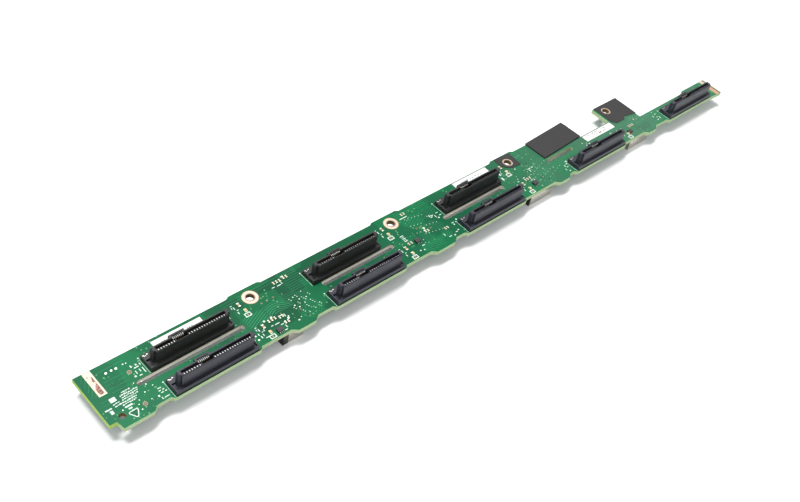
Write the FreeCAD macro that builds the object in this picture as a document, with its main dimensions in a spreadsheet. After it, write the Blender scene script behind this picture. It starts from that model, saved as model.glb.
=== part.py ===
import FreeCAD, Part
import os
import Sketcher
from FreeCAD import Placement, Rotation, Vector

# Drive backplane of a one-unit rack server: a long stepped circuit board with eight upright drive
# sockets on its upper side and its cable ports on its lower side, on which it rests.
# Lengths are in millimetres. X runs along the board, Y from the sockets' front to the rear edge, Z up.
# The origin lies at the middle of the board's length, half-way between its front rail and the rearmost
# edge of the wide film, on the surface that the ports rest on.

doc = FreeCAD.newDocument("DriveBackplane")
sheet = doc.addObject("Spreadsheet::Sheet", "Sizes")

SIZES = [
    # the board and its steps
    ("board_thick", 2.4),
    ("board_lift", 6.4),
    ("rail_out", 1.2),
    ("recess_run", 0.9),
    ("shelf_out", 0.5),
    ("rail_ramp", 2.8),
    ("shelf_ramp", 1.2),
    ("shelf_margin", 1.0),
    ("rear_margin", 6.8),
    ("boss_out", 1.0),
    ("boss_half", 8.0),
    ("boss_ramp", 1.6),
    ("notch_width", 3.2),
    ("notch_run", 4.4),
    ("notch_draft", 0.8),
    ("step_in", 24.7),
    ("step_over", 2.8),
    ("tab_margin", 6.5),
    ("tab_width", 22.0),
    ("tab_proud", 0.3),
    ("neck_margin", 3.6),
    ("end_length", 23.4),
    ("end_ramp", 2.4),
    ("end_step", 1.5),
    ("end_margin", 11.5),
    # the front rail's raised stretches: each one's length, and its distance before the next socket
    ("first_rail_end", 18.2),
    ("rail_a_length", 9.8),
    ("rail_a_before", 13.7),
    ("rail_b_length", 12.3),
    ("rail_b_before", 11.0),
    ("rail_c_length", 7.6),
    ("rail_c_before", 8.3),
    ("rail_d_length", 6.6),
    ("rail_d_before", 15.3),
    # the sockets' places
    ("first_socket_in", 27.8),
    ("drive_pitch", 86.9),
    ("lower_shift", 1.5),
    ("row_gap", 16.2),
    # air slots: how far each starts before an upper socket and ends past it
    ("slot_width", 2.8),
    ("slot_gap", 0.5),
    ("slot_one_before", 8.1),
    ("slot_one_past", 4.0),
    ("slot_two_before", -3.9),
    ("slot_two_past", 6.8),
    ("slot_three_before", 2.8),
    ("slot_three_past", -0.1),
    ("slot_four_before", 9.1),
    ("slot_four_length", 21.0),
    ("slot_four_back", 0.7),
    # screw holes
    ("hole_after", 16.2),
    ("hole_back", 5.0),
    ("hole_bore", 4.0),
    ("land_width", 8.1),
    ("land_thick", 0.06),
    ("index_hole", 3.0),
    ("index_in", 6.6),
    ("index_run", 4.4),
    # one drive socket: across, from front to back
    ("shroud_front", 1.45),
    ("front_wall", 1.45),
    ("mouth_width", 1.3),
    ("back_wall", 0.7),
    ("rear_ledge", 3.5),
    ("lip_wall", 0.5),
    ("lip_bevel", 0.35),
    ("post_setback", 1.05),
    # one drive socket: along, from its left end
    ("signal_first", 5.2),
    ("power_end", 3.98),
    ("mouth_end", 1.0),
    ("end_wall", 0.75),
    ("post_reach", 1.1),
    ("post_lead", 0.5),
    ("well_margin", 0.5),
    # one drive socket: heights above the board
    ("flange_height", 2.4),
    ("socket_height", 9.2),
    ("floor_over", 0.6),
    ("relief_deep", 3.2),
    ("relief_margin", 0.5),
    ("well_front", 1.0),
    ("well_depth", 1.1),
    # contact rows and their cavities
    ("contact_pitch", 1.27),
    ("signal_count", 7),
    ("power_gap", 7.62),
    ("power_count", 15),
    ("cavity_width", 0.78),
    ("second_pitch", 0.8),
    ("second_after", 0.53),
    ("second_count", 7),
    ("second_cavity", 0.5),
    ("second_block_margin", 1.0),
    ("second_block_out", 1.25),
    ("second_block_wall", 0.8),
    ("cut_overlap", 0.1),
    # socket contacts
    ("contact_width", 0.44),
    ("contact_thick", 0.2),
    ("contact_sunk", 0.35),
    ("contact_tip", 1.3),
    ("contact_bulge", 0.42),
    ("contact_play", 0.08),
    ("second_contact_width", 0.3),
    # board locks
    ("lock_in", 0.35),
    ("lock_width", 2.5),
    ("lock_thick", 0.4),
    ("lock_back", 2.1),
    ("lock_over", 0.35),
    ("lock_notch_width", 1.1),
    ("lock_notch_depth", 0.7),
    ("lock_play", 0.1),
    # bare ground strips
    ("strip_thick", 0.08),
    ("strip_left_in", 4.1),
    ("strip_left_width", 3.7),
    ("strip_left_length", 14.2),
    ("strip_right_in", 0.7),
    ("strip_right_width", 4.1),
    ("strip_edge", 0.2),
    # films
    ("film_thick", 0.25),
    ("pad_thick", 0.9),
    ("pad_width", 33.0),
    ("pad_depth", 14.4),
    ("pad_overhang", 2.0),
    ("pad_turn", 3.0),
    ("pad_back_in", 1.6),
    ("hole_film_half", 5.8),
    ("hole_film_front", 4.6),
    ("hole_film_back", 5.3),
    ("hole_film_cut", 4.2),
    ("hole_film_turn", -4.0),
    ("film_bore", 5.8),
    ("film_tab_bare", 1.2),
    ("film_tab_margin", 3.3),
    ("film_corner", 2.6),
    ("film_notch_width", 9.4),
    ("film_notch_depth", 1.8),
    # labels
    ("label_thick", 0.1),
    ("label_length", 25.2),
    ("label_depth", 4.9),
    ("label_edge", 0.4),
    ("label_one_in", 8.1),
    ("label_one_gap", 0.15),
    ("label_two_in", 19.0),
    # lamps and chips beside each socket
    ("lamp_after", 9.8),
    ("end_lamp_after", 4.4),
    ("lamp_run", 5.0),
    ("lamp_length", 2.0),
    ("lamp_width", 1.25),
    ("lamp_base", 0.35),
    ("lamp_height", 0.9),
    ("lamp_lens", 1.2),
    ("lamp_lens_bevel", 0.15),
    ("chip_length", 1.6),
    ("chip_width", 0.8),
    ("chip_height", 0.55),
    ("chip_row_pitch", 1.7),
    ("sense_gap", 4.2),
    ("sense_shift", 0.8),
    ("sense_length", 2.4),
    ("sense_width", 1.25),
    ("sense_height", 0.6),
    ("control_length", 3.0),
    ("control_width", 2.4),
    ("control_height", 1.1),
    ("control_stand", 0.1),
    ("lead_width", 0.3),
    ("lead_thick", 0.16),
    ("lead_reach", 0.55),
    ("lead_knee", 0.25),
    ("lead_pitch", 0.95),
    # shielded ports under the board
    ("port_front", 1.2),
    ("port_depth", 12.2),
    ("port_wall", 0.3),
    ("port_one_after", 14.4),
    ("port_one_width", 11.6),
    ("port_two_after", 7.5),
    ("port_three_after", 8.4),
    ("port_width", 17.6),
    ("port_block_depth", 4.2),
    ("port_play", 0.05),
    ("tongue_thick", 1.4),
    ("tongue_margin", 2.0),
    ("tongue_depth", 6.2),
    ("finger_margin", 0.4),
    ("finger_short", 0.5),
    ("finger_pitch", 1.2),
    ("finger_width", 0.6),
    ("finger_thick", 0.08),
    # power header under the board
    ("power_in", 17.1),
    ("power_cells", 6),
    ("power_pitch", 3.4),
    ("power_margin", 0.9),
    ("power_depth", 10.4),
    ("power_cell_width", 2.7),
    ("power_cell_wall", 1.0),
    ("power_cell_depth", 7.6),
    ("power_pin_size", 0.64),
    ("power_pin_reach", 6.2),
    # filter parts and controller under the board
    ("coil_side", 7.2),
    ("coil_height", 3.6),
    ("coil_bevel", 0.9),
    ("coil_step", 11.0),
    ("under_back", 9.2),
    ("bulk_length", 7.3),
    ("bulk_width", 4.3),
    ("bulk_height", 2.9),
    ("bulk_before", 15.8),
    ("bulk_step", 9.4),
    ("controller_side", 10.0),
    ("controller_height", 1.4),
    ("controller_stand", 0.1),
    ("controller_in", 26.2),
    ("controller_leads", 8),
    ("controller_pitch", 1.1),
    ("controller_reach", 1.0),
    ("controller_knee", 0.45),
]

for row, (alias, number) in enumerate(SIZES, start=1):
    sheet.set(f"A{row}", alias)
    sheet.set(f"B{row}", str(number))
    sheet.setAlias(f"B{row}", alias)
doc.recompute()


ALIASES = {alias for alias, number in SIZES}
COLUMNS = 5
UPPER_COLUMNS = 3
HOLE_COUNT = 4
COIL_COUNT = 2
BULK_COUNT = 3
NEAR = 0.01

# Sizes that follow from others. Runs are measured from the front face of the lower row of sockets.
FORMULAS = {
    "socket_span": "( ( signal_count + power_count - 2 ) * contact_pitch + power_gap )",
    "socket_length": "( signal_first + socket_span + power_end )",
    "signal_last": "( signal_first + ( signal_count - 1 ) * contact_pitch )",
    "power_first": "( signal_last + power_gap )",
    "second_first": "( signal_last + second_after )",
    "mouth_start": "( signal_first - mouth_end )",
    "mouth_length": "( socket_span + 2 * mouth_end )",
    "mouth_front": "( shroud_front + front_wall )",
    "mouth_back": "( mouth_front + mouth_width )",
    "mouth_floor": "( flange_height + floor_over )",
    "shroud_start": "( mouth_start - end_wall )",
    "shroud_length": "( mouth_length + 2 * end_wall )",
    "shroud_end": "( shroud_start + shroud_length )",
    "shroud_back": "( mouth_back + back_wall )",
    "shroud_depth": "( shroud_back - shroud_front )",
    "socket_depth": "( shroud_back + rear_ledge )",
    "cavity_front": "( shroud_front + lip_wall )",
    "cavity_depth": "( mouth_front - cavity_front + cut_overlap )",
    "second_cavity_depth": "( back_wall + second_block_out - second_block_wall )",
    "second_block_start": "( second_first - second_pitch / 2 - second_block_margin )",
    "second_block_length": "( second_count * second_pitch + 2 * second_block_margin )",
    "contact_top": "( socket_height - contact_sunk )",
    "lock_run": "( shroud_back + lock_back )",
    "lock_height": "( flange_height + lock_over )",
    "front": "rail_out",
    "back_run": "( row_gap + socket_depth + rear_margin )",
    "back": "( front + back_run )",
    "board_length": f"( first_socket_in + {COLUMNS - 1} * drive_pitch + lower_shift + socket_length + end_margin )",
    "board_top": "( board_lift + board_thick )",
    "board_left": "( - board_length / 2 )",
    "board_front": "( - ( back + pad_overhang ) / 2 )",
    "hole_run": "( back_run - hole_back )",
    "hole_y": "( front + hole_run )",
    "slot_run": "( row_gap - slot_gap - slot_width / 2 )",
    "step_run": "( row_gap + step_over )",
    "tab_run": "( back_run + tab_proud )",
    "neck_run": "( socket_depth + neck_margin )",
    "end_run": "( neck_run + end_step )",
}


def size(alias):
    return float(sheet.get(alias))


def bound(text):
    """Writes out the named formulas and prefixes each size with the sheet's name."""
    words = []
    for word in text.split():
        if word in FORMULAS:
            word = bound(FORMULAS[word])
        elif word in ALIASES:
            word = "Sizes." + word
        words.append(word)
    return " ".join(words)


def value(text):
    """The number that a formula of sizes gives."""
    result = sheet.evalExpression(bound(text))
    return float(getattr(result, "Value", result))


# Places on the board are formulas too: x from the board's left end, y from its front rail.


def column_x(column, lower):
    shift = " + lower_shift" if lower else ""
    return f"( first_socket_in + {column} * drive_pitch{shift} )"


def socket_row(lower):
    return "front" if lower else "( front + row_gap )"


def socket_end(column):
    """The right end of a column's lower socket."""
    return f"( {column_x(column, True)} + socket_length )"


def hole_x(index):
    return f"( {column_x(index, False)} + socket_length + hole_after )"


def tab_left():
    return f"( {hole_x(HOLE_COUNT - 1)} - tab_margin )"


def step_x():
    """Where the back edge steps forward, behind the fourth column's socket."""
    return f"( {column_x(HOLE_COUNT - 1, True)} + step_in )"


def socket_places():
    """Each socket's column and whether it is in the lower row, counted along the board."""
    places = []
    for column in range(COLUMNS):
        if column < UPPER_COLUMNS:
            places.append((column, False))
        places.append((column, True))
    return places


def place(thing, x, y, z, turn="0"):
    """Binds an object's place to formulas in the global frame."""
    thing.setExpression(".Placement.Base.x", bound(x))
    thing.setExpression(".Placement.Base.y", bound(y))
    thing.setExpression(".Placement.Base.z", bound(z))
    if turn != "0":
        thing.setExpression(".Placement.Rotation.Angle", bound(turn))


def on_board(thing, x, y, z="board_top", turn="0"):
    """Places an object by board x and board y."""
    place(thing, f"board_left + {x}", f"board_front + {y}", z, turn)


def new_body(label):
    body = doc.addObject("PartDesign::Body", label)
    body.Label = label
    return body


def new_sketch(body, name, role="XY_Plane", offset="0"):
    sketch = body.newObject("Sketcher::SketchObject", name)
    plane = [item for item in body.Origin.OriginFeatures if item.Role == role][0]
    sketch.AttachmentSupport = (plane, "")
    sketch.MapMode = "FlatFace"
    if offset != "0":
        sketch.setExpression(".AttachmentOffset.Base.z", bound(offset))
    return sketch


def pin(sketch, geometry, point, x, y):
    """Ties one sketch point to formulas measured from the sketch's origin."""
    for kind, text in (("DistanceX", x), ("DistanceY", y)):
        index = sketch.addConstraint(Sketcher.Constraint(kind, -1, 1, geometry, point, value(text)))
        sketch.setExpression(f"Constraints[{index}]", bound(text))


def outline(sketch, points):
    """A closed outline of straight edges whose corners are pairs of formulas."""
    corners = [Vector(value(x), value(y), 0) for x, y in points]
    first = sketch.GeometryCount
    count = len(points)
    for i in range(count):
        sketch.addGeometry(Part.LineSegment(corners[i], corners[(i + 1) % count]), False)
    for i in range(count):
        following = first + (i + 1) % count
        sketch.addConstraint(Sketcher.Constraint("Coincident", first + i, 2, following, 1))
        pin(sketch, first + i, 1, *points[i])


def rectangle(sketch, x, y, width, depth):
    right = f"( {x} + {width} )"
    back = f"( {y} + {depth} )"
    outline(sketch, [(x, y), (right, y), (right, back), (x, back)])


def circle(sketch, x, y, diameter):
    centre = Vector(value(x), value(y), 0)
    index = sketch.addGeometry(Part.Circle(centre, Vector(0, 0, 1), value(diameter) / 2), False)
    pin(sketch, index, 3, x, y)
    constraint = sketch.addConstraint(Sketcher.Constraint("Diameter", index, value(diameter)))
    sketch.setExpression(f"Constraints[{constraint}]", bound(diameter))


def round_slot(sketch, x, y, length, width):
    """A slot with half-round ends: x is its left tip and y its centre line."""
    radius = value(width) / 2
    left = value(x) + radius
    right = value(x) + value(length) - radius
    middle = value(y)
    quarter = 1.5707963267948966
    first = sketch.GeometryCount
    sketch.addGeometry(Part.LineSegment(Vector(left, middle - radius, 0), Vector(right, middle - radius, 0)))
    right_end = Part.Circle(Vector(right, middle, 0), Vector(0, 0, 1), radius)
    sketch.addGeometry(Part.ArcOfCircle(right_end, -quarter, quarter))
    sketch.addGeometry(Part.LineSegment(Vector(right, middle + radius, 0), Vector(left, middle + radius, 0)))
    left_end = Part.Circle(Vector(left, middle, 0), Vector(0, 0, 1), radius)
    sketch.addGeometry(Part.ArcOfCircle(left_end, quarter, 3 * quarter))
    for i in range(4):
        sketch.addConstraint(Sketcher.Constraint("Tangent", first + i, 2, first + (i + 1) % 4, 1))
    pin(sketch, first + 3, 3, f"( {x} + {width} / 2 )", y)
    pin(sketch, first + 1, 3, f"( {x} + {length} - {width} / 2 )", y)
    constraint = sketch.addConstraint(Sketcher.Constraint("Radius", first + 1, radius))
    sketch.setExpression(f"Constraints[{constraint}]", bound(f"{width} / 2"))


def pad(body, sketch, name, height):
    feature = body.newObject("PartDesign::Pad", name)
    feature.Profile = sketch
    feature.setExpression("Length", bound(height))
    return feature


def pocket(body, sketch, name, depth=None, reverse=False):
    """Cuts a sketch to a depth, or right through when no depth is given."""
    feature = body.newObject("PartDesign::Pocket", name)
    feature.Profile = sketch
    feature.Reversed = reverse
    if depth is None:
        feature.Type = "ThroughAll"
        feature.Midplane = True
    else:
        feature.setExpression("Length", bound(depth))
    return feature


def row_pattern(body, feature, name, count, pitch):
    """Repeats a feature along the body's X axis."""
    pattern = body.newObject("PartDesign::LinearPattern", name)
    pattern.Originals = [feature]
    axis = [item for item in body.Origin.OriginFeatures if item.Role == "X_Axis"][0]
    pattern.Direction = (axis, [""])
    pattern.setExpression("Occurrences", bound(count))
    pattern.setExpression("Length", bound(f"( {count} - 1 ) * {pitch}"))
    body.Tip = pattern
    return pattern


def group(label, solids):
    """One node that holds several like pieces, each a solid of its own."""
    feature = doc.addObject("Part::Feature", label)
    feature.Label = label
    feature.Shape = Part.makeCompound(solids) if len(solids) > 1 else solids[0]
    return feature


def board_point(x, y, z="board_top"):
    """A board place as a point in the global frame."""
    return Vector(value(f"board_left + {x}"), value(f"board_front + {y}"), value(z))


def block(corner, length, depth, height):
    return Part.makeBox(length, depth, height, corner)


def prism(points, direction):
    """A straight prism on a flat outline of points."""
    wire = Part.makePolygon(list(points) + [points[0]])
    return Part.Face(wire).extrude(direction)


# The board


def front_edge():
    """The front edge from left to right: rail stretches, recesses and a shelf under each lower socket."""
    rail = "0"
    recess = "( rail_out + recess_run )"
    shelf = "( rail_out - shelf_out )"
    edge = [
        ("( notch_width + notch_draft )", rail),
        ("first_rail_end", rail),
        ("( first_rail_end + rail_ramp )", recess),
    ]
    for column, name in enumerate(["rail_a", "rail_b", "rail_c", "rail_d", None]):
        start = column_x(column, True)
        end = socket_end(column)
        edge.append((f"( {start} - shelf_margin - shelf_ramp )", recess))
        edge.append((f"( {start} - shelf_margin )", shelf))
        edge.append((f"( {end} + shelf_margin )", shelf))
        if name is None:
            continue
        edge.append((f"( {end} + shelf_margin + shelf_ramp )", recess))
        finish = f"( {column_x(column + 1, True)} - {name}_before )"
        begin = f"( {finish} - {name}_length )"
        edge.append((f"( {begin} - rail_ramp )", recess))
        edge.append((begin, rail))
        edge.append((finish, rail))
        edge.append((f"( {finish} + rail_ramp )", recess))
    edge.append(("( board_length - notch_width )", rail))
    edge.append(("board_length", rail))
    return edge


def back_edge():
    """The back edge from right to left: the narrow end, the screw tab, the step and the hole bosses."""
    tab_right = f"( {tab_left()} + tab_width )"
    edge = [
        ("board_length", "( front + end_run )"),
        ("( board_length - end_length )", "( front + end_run )"),
        ("( board_length - end_length - end_ramp )", "( front + neck_run )"),
        (tab_right, "( front + neck_run )"),
        (tab_right, "( front + tab_run )"),
        (tab_left(), "( front + tab_run )"),
        (tab_left(), "( front + step_run )"),
        (step_x(), "( front + step_run )"),
        (step_x(), "back"),
    ]
    for index in reversed(range(HOLE_COUNT - 1)):
        centre = hole_x(index)
        edge.append((f"( {centre} + boss_half + boss_ramp )", "back"))
        edge.append((f"( {centre} + boss_half )", "( back + boss_out )"))
        edge.append((f"( {centre} - boss_half )", "( back + boss_out )"))
        edge.append((f"( {centre} - boss_half - boss_ramp )", "back"))
    edge.append(("0", "back"))
    return edge


def air_slots(sketch):
    """A slot in front of each upper socket and a short one under the wide film."""
    slot_y = "( front + slot_run )"
    for column, name in enumerate(["slot_one", "slot_two", "slot_three"]):
        left = f"( {column_x(column, False)} - {name}_before )"
        length = f"( {name}_before + socket_length + {name}_past )"
        round_slot(sketch, left, slot_y, length, "slot_width")
    left = f"( {column_x(UPPER_COLUMNS, True)} - slot_four_before )"
    round_slot(sketch, left, f"( {slot_y} + slot_four_back )", "slot_four_length", "slot_width")


def make_board():
    body = new_body("board")
    sketch = new_sketch(body, "BoardOutline")
    left_edge = [("0", "notch_run"), ("notch_width", "notch_run")]
    outline(sketch, front_edge() + back_edge() + left_edge)
    pad(body, sketch, "BoardPad", "board_thick")
    slots = new_sketch(body, "AirSlots")
    air_slots(slots)
    pocket(body, slots, "SlotCut")
    holes = new_sketch(body, "RoundHoles")
    for index in range(HOLE_COUNT):
        circle(holes, hole_x(index), "hole_y", "hole_bore")
    circle(holes, "index_in", "( front + index_run )", "index_hole")
    pocket(body, holes, "HoleCut")
    place(body, "board_left", "board_front", "board_lift")
    return body


# One drive socket


def cavity_row(body, name, first, count, pitch, width, y, depth):
    """A row of contact cavities that open into the mouth and end level with its floor."""
    sketch = new_sketch(body, name + "Sketch", offset="mouth_floor")
    rectangle(sketch, f"( {first} - {width} / 2 )", y, width, depth)
    cut = pocket(body, sketch, name, "( socket_height - mouth_floor )", reverse=True)
    doc.recompute()
    row_pattern(body, cut, name + "Row", count, pitch)


def bevel_mouth(body, feature):
    """Bevels the long front edge of the shroud's top."""
    doc.recompute()
    wanted = value("shroud_front")
    top = value("socket_height")
    names = []
    for index, edge in enumerate(feature.Shape.Edges, start=1):
        centre = edge.CenterOfMass
        if abs(centre.y - wanted) < NEAR and abs(centre.z - top) < NEAR:
            names.append(f"Edge{index}")
    bevel = body.newObject("PartDesign::Chamfer", "LipBevel")
    bevel.Base = (feature, names)
    bevel.setExpression("Size", bound("lip_bevel"))
    return bevel


def post_outline(sketch, left, right):
    """A guide post seen from the front, with a lead-in bevel at its two top corners."""
    outline(sketch, [
        (left, "flange_height"),
        (right, "flange_height"),
        (right, "( socket_height - post_lead )"),
        (f"( {right} - post_lead )", "socket_height"),
        (f"( {left} + post_lead )", "socket_height"),
        (left, "( socket_height - post_lead )"),
    ])


def make_socket(number, column, lower):
    body = new_body(f"drive_socket_{number}")
    base = new_sketch(body, "Flange")
    rectangle(base, "0", "0", "socket_length", "socket_depth")
    pad(body, base, "FlangePad", "flange_height")
    shroud = new_sketch(body, "Shroud", offset="flange_height")
    rectangle(shroud, "shroud_start", "shroud_front", "shroud_length", "shroud_depth")
    shroud_pad = pad(body, shroud, "ShroudPad", "( socket_height - flange_height )")
    bevel_mouth(body, shroud_pad)
    posts = new_sketch(body, "GuidePosts", role="XZ_Plane", offset="( - shroud_back )")
    post_outline(posts, "( shroud_start - post_reach )", "( shroud_start + 2 * post_lead )")
    post_outline(posts, "( shroud_end - 2 * post_lead )", "( shroud_end + post_reach )")
    pad(body, posts, "PostPad", "( shroud_depth - post_setback )")
    block_sketch = new_sketch(body, "SecondBlock", offset="flange_height")
    rectangle(block_sketch, "second_block_start", "mouth_back", "second_block_length",
              "( back_wall + second_block_out )")
    pad(body, block_sketch, "SecondBlockPad", "( socket_height - flange_height )")
    mouth = new_sketch(body, "Mouth", offset="mouth_floor")
    rectangle(mouth, "mouth_start", "mouth_front", "mouth_length", "mouth_width")
    pocket(body, mouth, "MouthCut", "( socket_height - mouth_floor )", reverse=True)
    relief = new_sketch(body, "Relief", offset="( socket_height - relief_deep )")
    relief_side = "( cavity_width / 2 + relief_margin )"
    rectangle(relief, f"( signal_last + {relief_side} )", "cavity_front",
              f"( power_gap - 2 * {relief_side} )", "cavity_depth")
    pocket(body, relief, "ReliefCut", "relief_deep", reverse=True)
    wells = new_sketch(body, "Wells", offset="( flange_height - well_depth )")
    rectangle(wells, "well_margin", "well_front", "( shroud_start - post_reach - well_margin )",
              "( shroud_back - well_front )")
    rectangle(wells, "( shroud_end + post_reach )", "well_front",
              "( socket_length - shroud_end - post_reach - well_margin )", "( shroud_back - well_front )")
    pocket(body, wells, "WellCut", "well_depth", reverse=True)
    locks = new_sketch(body, "LockSlots")
    lock_y = "( lock_run - lock_play )"
    lock_depth = "( lock_thick + 2 * lock_play )"
    lock_length = "( lock_width + 2 * lock_play )"
    rectangle(locks, "( lock_in - lock_play )", lock_y, lock_length, lock_depth)
    rectangle(locks, "( socket_length - lock_in - lock_width - lock_play )", lock_y, lock_length, lock_depth)
    pocket(body, locks, "LockCut")
    cavity_row(body, "SignalCavity", "signal_first", "signal_count", "contact_pitch", "cavity_width",
               "cavity_front", "cavity_depth")
    cavity_row(body, "PowerCavity", "power_first", "power_count", "contact_pitch", "cavity_width",
               "cavity_front", "cavity_depth")
    cavity_row(body, "SecondCavity", "second_first", "second_count", "second_pitch", "second_cavity",
               "( mouth_back - cut_overlap )", "( second_cavity_depth + cut_overlap )")
    on_board(body, column_x(column, lower), socket_row(lower))
    return body


def contact_outline(base_y, reach):
    """A contact seen from the side: a leaning spring that bulges into the mouth and bends back to its tip."""
    floor = value("mouth_floor")
    thick = size("contact_thick")
    top = value("contact_top")
    bend = top - size("contact_tip")
    side = 1 if reach > 0 else -1
    tip = (base_y + reach / 2, top)
    inner = (base_y + reach + side * thick, bend)
    outer = (base_y + reach, bend)
    return [(base_y, floor), (base_y + side * thick, floor), inner, tip, outer]


def contact_prism(x, points, width, origin):
    corners = [origin + Vector(x - width / 2, y, z) for y, z in points]
    return prism(corners, Vector(width, 0, 0))


def make_contacts(number, column, lower):
    origin = board_point(column_x(column, lower), socket_row(lower))
    play = size("contact_play")
    proud = size("contact_bulge") - size("contact_thick")
    front_y = value("cavity_front") + play
    main = contact_outline(front_y, value("mouth_front") - front_y + proud)
    back_y = value("mouth_back + second_cavity_depth") - play
    second = contact_outline(back_y, value("mouth_back") - back_y - proud)
    rows = [
        ("signal_first", "signal_count", "contact_pitch", main, "contact_width"),
        ("power_first", "power_count", "contact_pitch", main, "contact_width"),
        ("second_first", "second_count", "second_pitch", second, "second_contact_width"),
    ]
    solids = []
    for first, count, pitch, side_view, width in rows:
        for i in range(int(size(count))):
            x = value(first) + i * size(pitch)
            solids.append(contact_prism(x, side_view, size(width), origin))
    return group(f"socket_contacts_{number}", solids)


def lock_solid(corner):
    """A board lock: an upright tab of sheet with a notch between its two horns."""
    width = size("lock_width")
    height = value("lock_height")
    left = (width - size("lock_notch_width")) / 2
    right = left + size("lock_notch_width")
    low = height - size("lock_notch_depth")
    face = [(0, 0), (width, 0), (width, height), (right, height), (right, low), (left, low), (left, height),
            (0, height)]
    points = [corner + Vector(x, 0, z) for x, z in face]
    return prism(points, Vector(0, size("lock_thick"), 0))


def make_board_locks():
    solids = []
    for column, lower in socket_places():
        left = column_x(column, lower)
        near = f"( {left} + lock_in )"
        far = f"( {left} + socket_length - lock_in - lock_width )"
        for x in (near, far):
            solids.append(lock_solid(board_point(x, f"( {socket_row(lower)} + lock_run )")))
    return group("board_locks", solids)


# Plating: screw lands and ground strips


def make_hole_lands():
    """A flat plated ring round each screw hole."""
    bore = size("hole_bore") / 2
    outer = size("land_width") / 2
    thick = size("land_thick")
    solids = []
    for index in range(HOLE_COUNT):
        centre = board_point(hole_x(index), "hole_y")
        disc = Part.makeCylinder(outer, thick, centre)
        solids.append(disc.cut(Part.makeCylinder(bore, thick, centre)))
    return group("hole_lands", solids)


def make_strip(label, x, width, y, depth):
    strip = doc.addObject("Part::Box", label)
    strip.Label = label
    strip.setExpression("Length", bound(width))
    strip.setExpression("Width", bound(depth))
    strip.setExpression("Height", bound("strip_thick"))
    on_board(strip, x, y)
    return strip


# Films and labels


def make_wide_film():
    """The wide film, stuck on slightly askew: its rear right corner hangs furthest over the back edge."""
    body = new_body("film_wide")
    sketch = new_sketch(body, "FilmOutline")
    outline(sketch, [("0", "0"), ("0", "( - pad_depth )"), ("( - pad_width )", "( - pad_depth )"),
                     ("( - pad_width )", "0")])
    pad(body, sketch, "FilmPad", "pad_thick")
    on_board(body, f"( {step_x()} - pad_back_in )", "( back + pad_overhang )", turn="pad_turn")
    return body


def make_hole_film():
    """The film round the third screw hole, with one corner cut off and a hole for the screw head."""
    body = new_body("film_hole")
    sketch = new_sketch(body, "FilmOutline")
    outline(sketch, [
        ("( hole_film_cut - hole_film_half )", "( - hole_film_front )"),
        ("hole_film_half", "( - hole_film_front )"),
        ("hole_film_half", "hole_film_back"),
        ("( - hole_film_half )", "hole_film_back"),
        ("( - hole_film_half )", "( hole_film_cut - hole_film_front )"),
    ])
    circle(sketch, "0", "0", "film_bore")
    pad(body, sketch, "FilmPad", "film_thick")
    on_board(body, hole_x(2), "hole_y", z="( board_top + land_thick )", turn="hole_film_turn")
    return body


def make_tab_film():
    """The film that covers the screw tab: one corner is cut off and its front edge has a step."""
    body = new_body("film_tab")
    sketch = new_sketch(body, "FilmOutline")
    left = "( film_tab_bare - tab_margin )"
    right = "( tab_width - tab_margin )"
    front = "( neck_run + film_tab_margin - hole_run )"
    back = "( tab_run - hole_run )"
    outline(sketch, [
        (f"( {left} + film_corner )", front),
        (f"( {right} - film_notch_width - film_notch_depth )", front),
        (f"( {right} - film_notch_width )", f"( {front} + film_notch_depth )"),
        (right, front),
        (right, back),
        (left, back),
        (left, f"( {front} + film_corner )"),
    ])
    circle(sketch, "0", "0", "film_bore")
    pad(body, sketch, "FilmPad", "film_thick")
    on_board(body, hole_x(HOLE_COUNT - 1), "hole_y", z="( board_top + land_thick )")
    return body


def make_label(label, x, y):
    paper = doc.addObject("Part::Box", label)
    paper.Label = label
    paper.setExpression("Length", bound("label_length"))
    paper.setExpression("Width", bound("label_depth"))
    paper.setExpression("Height", bound("label_thick"))
    on_board(paper, x, y)
    return paper


# Lamps and chips on the upper side


def lamp_x(column, lower):
    """A lamp's board x; the last one stands closer to its socket, clear of the ground strip."""
    after = "end_lamp_after" if column == COLUMNS - 1 else "lamp_after"
    return f"( {column_x(column, lower)} + socket_length + {after} )"


def make_lamps():
    """One lamp beside each socket: a flat base with a low domed lens in one moulding."""
    solids = []
    length = size("lamp_length")
    width = size("lamp_width")
    base = size("lamp_base")
    lens = size("lamp_lens")
    height = size("lamp_height")
    bevel = size("lamp_lens_bevel")
    for column, lower in socket_places():
        centre = board_point(lamp_x(column, lower), f"( {socket_row(lower)} + lamp_run )")
        corner = centre - Vector(width / 2, length / 2, 0)
        foot = block(corner, width, length, base)
        low = [Vector(centre.x + sx * width / 2, centre.y + sy * lens / 2, centre.z + base)
               for sx, sy in ((-1, -1), (1, -1), (1, 1), (-1, 1))]
        high = [Vector(centre.x + sx * (width / 2 - bevel), centre.y + sy * (lens / 2 - bevel), centre.z + height)
                for sx, sy in ((-1, -1), (1, -1), (1, 1), (-1, 1))]
        wires = [Part.makePolygon(ring + [ring[0]]) for ring in (low, high)]
        solids.append(foot.fuse(Part.makeLoft(wires, True, True)).removeSplitter())
    return group("signal_lamps", solids)


def upright_chip(x, y, kind):
    """A chip that lies across the board; the kind names its length, width and height."""
    length = size(kind + "_length")
    width = size(kind + "_width")
    corner = board_point(x, y) - Vector(width / 2, length / 2, 0)
    return block(corner, width, length, size(kind + "_height"))


def make_sense_resistors():
    """One resistor behind each lamp, in line with it."""
    solids = []
    for column, lower in socket_places():
        x = f"( {lamp_x(column, lower)} - sense_shift )"
        solids.append(upright_chip(x, f"( {socket_row(lower)} + lamp_run + sense_gap )", "sense"))
    return group("lamp_resistors", solids)


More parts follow.
